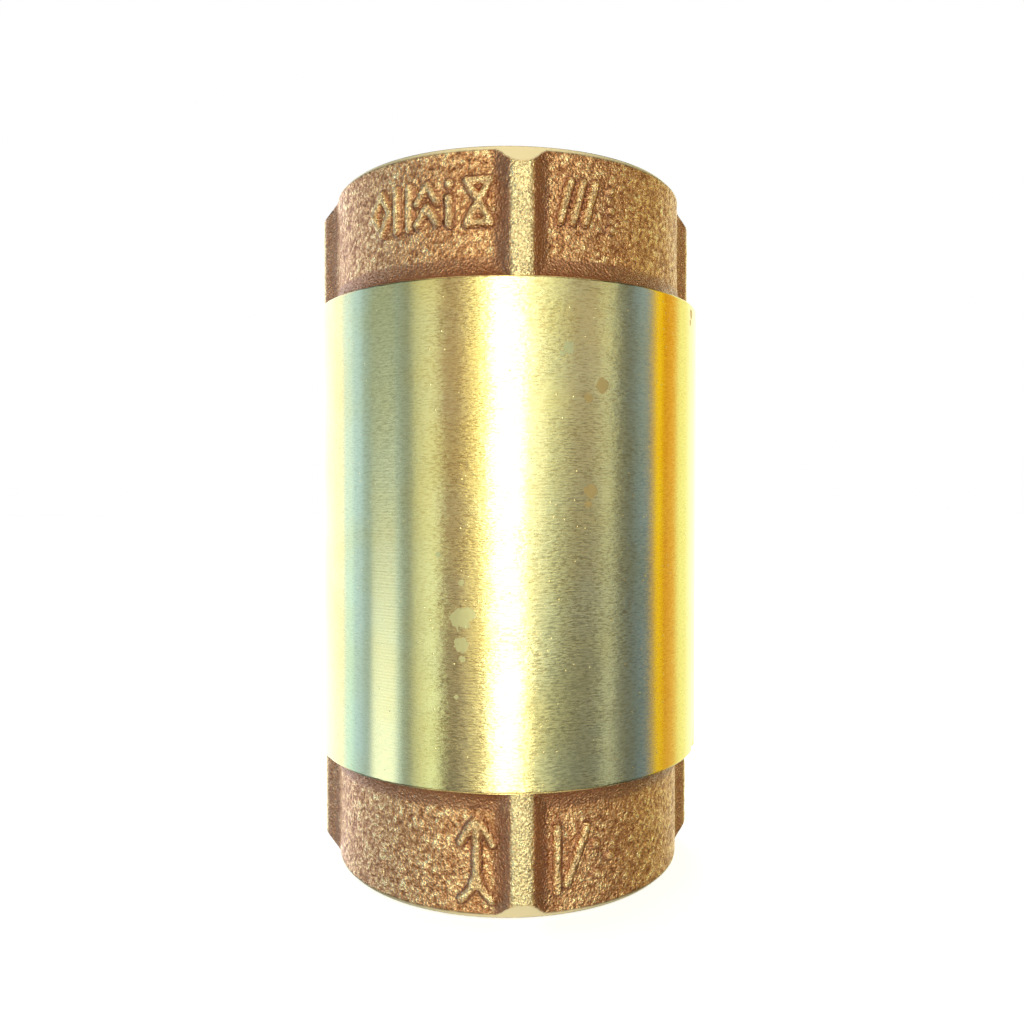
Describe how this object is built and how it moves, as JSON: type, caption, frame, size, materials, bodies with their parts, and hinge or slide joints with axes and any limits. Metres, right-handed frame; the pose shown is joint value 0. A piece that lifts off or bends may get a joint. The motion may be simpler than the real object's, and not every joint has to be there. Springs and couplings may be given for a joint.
{
  "type": "in-line spring check valve",
  "caption": "In-line spring-loaded check valve with female taper-threaded ends, ribbed cast bronze collars and a turned barrel.",
  "frame": {"origin": "on the valve's axis at the flat inlet face, where the valve stands", "axes": "+Z along the axis from the inlet to the outlet, in the direction of flow; +X and +Y through cast ribs"},
  "size_m": [0.0564, 0.0564, 0.097],
  "materials": {
    "cast_bronze": "sand cast skin, coarse grain",
    "turned_bronze": "turned, fine tool marks around the axis",
    "stainless": "turned stainless steel",
    "spring_wire": "drawn stainless spring wire",
    "nitrile": "moulded nitrile rubber",
    "acetal": "turned acetal"
  },
  "bodies": {
    "valve_body": {"body": "turned_bronze", "body_end": "cast_bronze", "body_oring": "nitrile", "inlet_guide": "turned_bronze", "inlet_bush": "acetal", "inlet_ring": "stainless", "outlet_guide": "turned_bronze", "outlet_bush": "acetal"},
    "spring_follower": {"spring_washer": "stainless", "spring": "spring_wire"},
    "poppet": {"stem": "stainless", "disc_holder": "turned_bronze", "seat_disc": "nitrile", "disc_retainer": "stainless", "lock_washer": "stainless", "stem_nut": "stainless"}
  },
  "joints": [
    {"name": "poppet_lift", "type": "slide", "parent": "valve_body", "child": "spring_follower", "axis": [0, 0, 1], "range_m": [0, 0.009], "stiffness_N_per_m": 280, "springref_m": -0.01, "deforming": ["spring"]},
    {"name": "poppet_spin", "type": "hinge", "parent": "spring_follower", "child": "poppet", "pos_m": [0, 0, 0.046], "axis": [0, 0, 1], "continuous": true}
  ]
}
